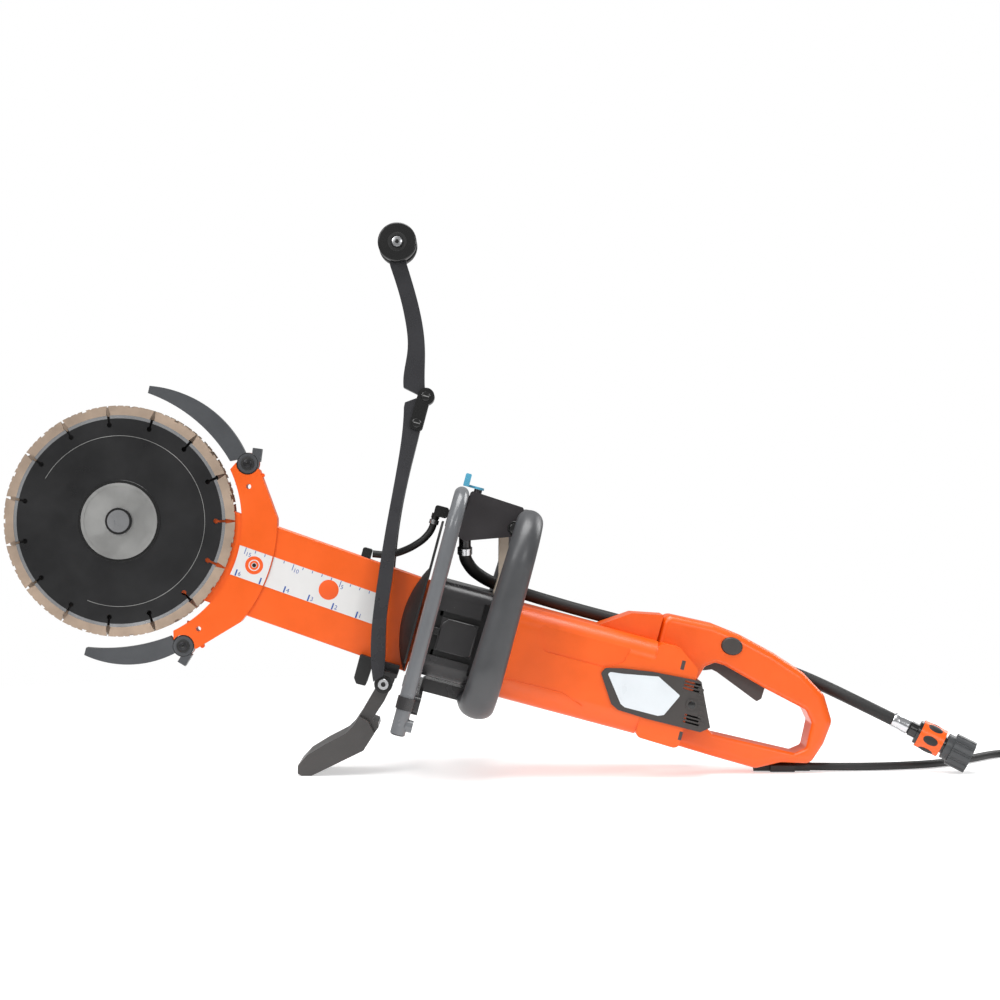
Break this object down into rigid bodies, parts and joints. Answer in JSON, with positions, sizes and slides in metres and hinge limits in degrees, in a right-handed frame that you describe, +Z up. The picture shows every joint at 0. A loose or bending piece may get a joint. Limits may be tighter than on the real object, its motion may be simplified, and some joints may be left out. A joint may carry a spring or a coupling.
{
  "type": "electric concrete cut-off saw",
  "caption": "Wet-cutting electric hand saw with twin diamond blades on a flat belt arm, swinging guards, wall guide, hoop handles and rear trigger handle",
  "frame": {"origin": "centre of the saw's bounding box on the floor, without its free lead and inlet hose; the saw stands on its front foot and its rear cable gland", "axes": "+X runs to the rear handle, +Y to the saw's right, +Z up; the blades are at -X"},
  "size_m": [1.1258, 0.2374, 0.546],
  "materials": {
    "orange_paint": "satin",
    "orange_plastic": "satin",
    "dark_casting": "satin",
    "grey_plastic": "satin",
    "black_plastic": "gloss",
    "black_rubber": "matte",
    "grip_rubber": "matte",
    "hoop_paint": "satin",
    "blade_steel": "satin",
    "segment_metal": "rough",
    "plain_steel": "brushed",
    "bright_steel": "bright",
    "label_film": "satin",
    "tap_blue": "satin",
    "strut_plastic": "satin",
    "valve_plastic": "satin",
    "copper_winding": "satin",
    "lamination": "matte",
    "board_green": "satin",
    "belt_rubber": "matte",
    "foot_casting": "satin",
    "adaptor_grey": "satin"
  },
  "bodies": {
    "frame": {"arm_housing": "orange_paint", "arm_cover": "orange_paint", "guard_plate": "orange_paint", "scale_label": "label_film", "ball_bearings": "bright_steel", "drive_belt": "belt_rubber", "gear_housing": "dark_casting", "bearing_flange": "plain_steel", "motor_housing": "orange_plastic", "stator": "copper_winding", "brush_carrier": "black_plastic", "handle_shell_left": "orange_plastic", "handle_shell_right": "orange_plastic", "vent_panel_left": "grey_plastic", "vent_panel_right": "grey_plastic", "name_plates": "label_film", "switch_unit": "black_plastic", "control_board": "board_green", "return_springs": "bright_steel", "cable_gland": "black_rubber", "power_cable": "black_rubber", "mains_plug": "black_rubber", "grip_hoop": "grip_rubber", "hand_guard_hoop": "hoop_paint", "hoop_bracket": "dark_casting", "valve_block": "valve_plastic", "hoop_strut": "strut_plastic", "hose_fittings": "black_plastic", "front_hose": "black_rubber", "rear_hose": "black_rubber", "hose_clamps": "bright_steel", "splash_guard": "black_plastic", "case_screws": "plain_steel", "guide_bracket": "dark_casting", "guide_frame": "grey_plastic", "guide_hinge": "black_plastic", "stop_block": "black_rubber", "inlet_hose": "black_rubber", "connector_body": "orange_plastic", "connector_core": "black_plastic", "tap_adaptor": "adaptor_grey"},
    "blade": {"blade_near": "blade_steel", "blade_far": "blade_steel", "blade_segments": "segment_metal", "blade_flanges": "plain_steel", "blade_spindle": "plain_steel", "flange_bolt": "bright_steel"},
    "drive": {"drive_shaft": "plain_steel", "bevel_gear": "plain_steel"},
    "rotor": {"rotor_shaft": "plain_steel", "rotor_core": "lamination", "cooling_fan": "grey_plastic"},
    "trigger": {"trigger": "black_plastic"},
    "lock_button": {"lock_button": "grey_plastic"},
    "tap": {"tap_lever": "tap_blue"},
    "guard_upper": {"guard_arm_upper": "grey_plastic"},
    "guard_lower": {"guard_arm_lower": "grey_plastic"},
    "guide_arm": {"guide_upper_arm": "foot_casting"},
    "wheels": {"guide_wheels": "black_plastic"},
    "foot": {"foot": "foot_casting"}
  },
  "joints": [
    {"name": "blade_spin", "type": "hinge", "parent": "frame", "child": "blade", "pos_m": [-0.29632, 0, 0.25], "axis": [0, 1, 0], "continuous": true},
    {"name": "drive_spin", "type": "hinge", "parent": "frame", "child": "drive", "pos_m": [0.01306, 0, 0.14105], "axis": [0, 1, 0], "continuous": true},
    {"name": "rotor_spin", "type": "hinge", "parent": "frame", "child": "rotor", "pos_m": [0.01306, 0, 0.14105], "axis": [0.9659, 0, -0.2588], "continuous": true},
    {"name": "trigger_squeeze", "type": "hinge", "parent": "frame", "child": "trigger", "pos_m": [0.29239, 0, 0.11331], "axis": [0, -1, 0], "range_deg": [0, 7], "stiffness_Nm_per_rad": 0.6, "springref_deg": -11.46},
    {"name": "lock_press", "type": "slide", "parent": "frame", "child": "lock_button", "axis": [0, 1, 0], "range_m": [0, 0.003], "stiffness_N_per_m": 800, "springref_m": -0.002},
    {"name": "tap_turn", "type": "hinge", "parent": "frame", "child": "tap", "pos_m": [0.06102, 0, 0.28142], "axis": [0.2588, 0, 0.9659], "range_deg": [0, 90]},
    {"name": "guard_upper_swing", "type": "hinge", "parent": "frame", "child": "guard_upper", "pos_m": [-0.169, 0, 0.30749], "axis": [0, 1, 0], "range_deg": [0, 32], "stiffness_Nm_per_rad": 0.3, "springref_deg": -22.92},
    {"name": "guard_lower_swing", "type": "hinge", "parent": "frame", "child": "guard_lower", "pos_m": [-0.23311, 0, 0.12542], "axis": [0, -1, 0], "range_deg": [0, 32], "stiffness_Nm_per_rad": 0.4, "springref_deg": -34.38},
    {"name": "guide_fold", "type": "hinge", "parent": "frame", "child": "guide_arm", "pos_m": [0.00873, 0, 0.37411], "axis": [0, -1, 0], "range_deg": [0, 24]},
    {"name": "wheel_spin", "type": "hinge", "parent": "guide_arm", "child": "wheels", "pos_m": [-0.01966, 0, 0.52666], "axis": [0, 1, 0], "continuous": true},
    {"name": "foot_fold", "type": "hinge", "parent": "frame", "child": "foot", "pos_m": [-0.03273, 0, 0.08996], "axis": [0, -1, 0], "range_deg": [0, 25]}
  ],
  "couplings": [
    {"joint": "drive_spin", "follows": "blade_spin", "ratio": 1.25},
    {"joint": "rotor_spin", "follows": "blade_spin", "ratio": -3.75}
  ]
}
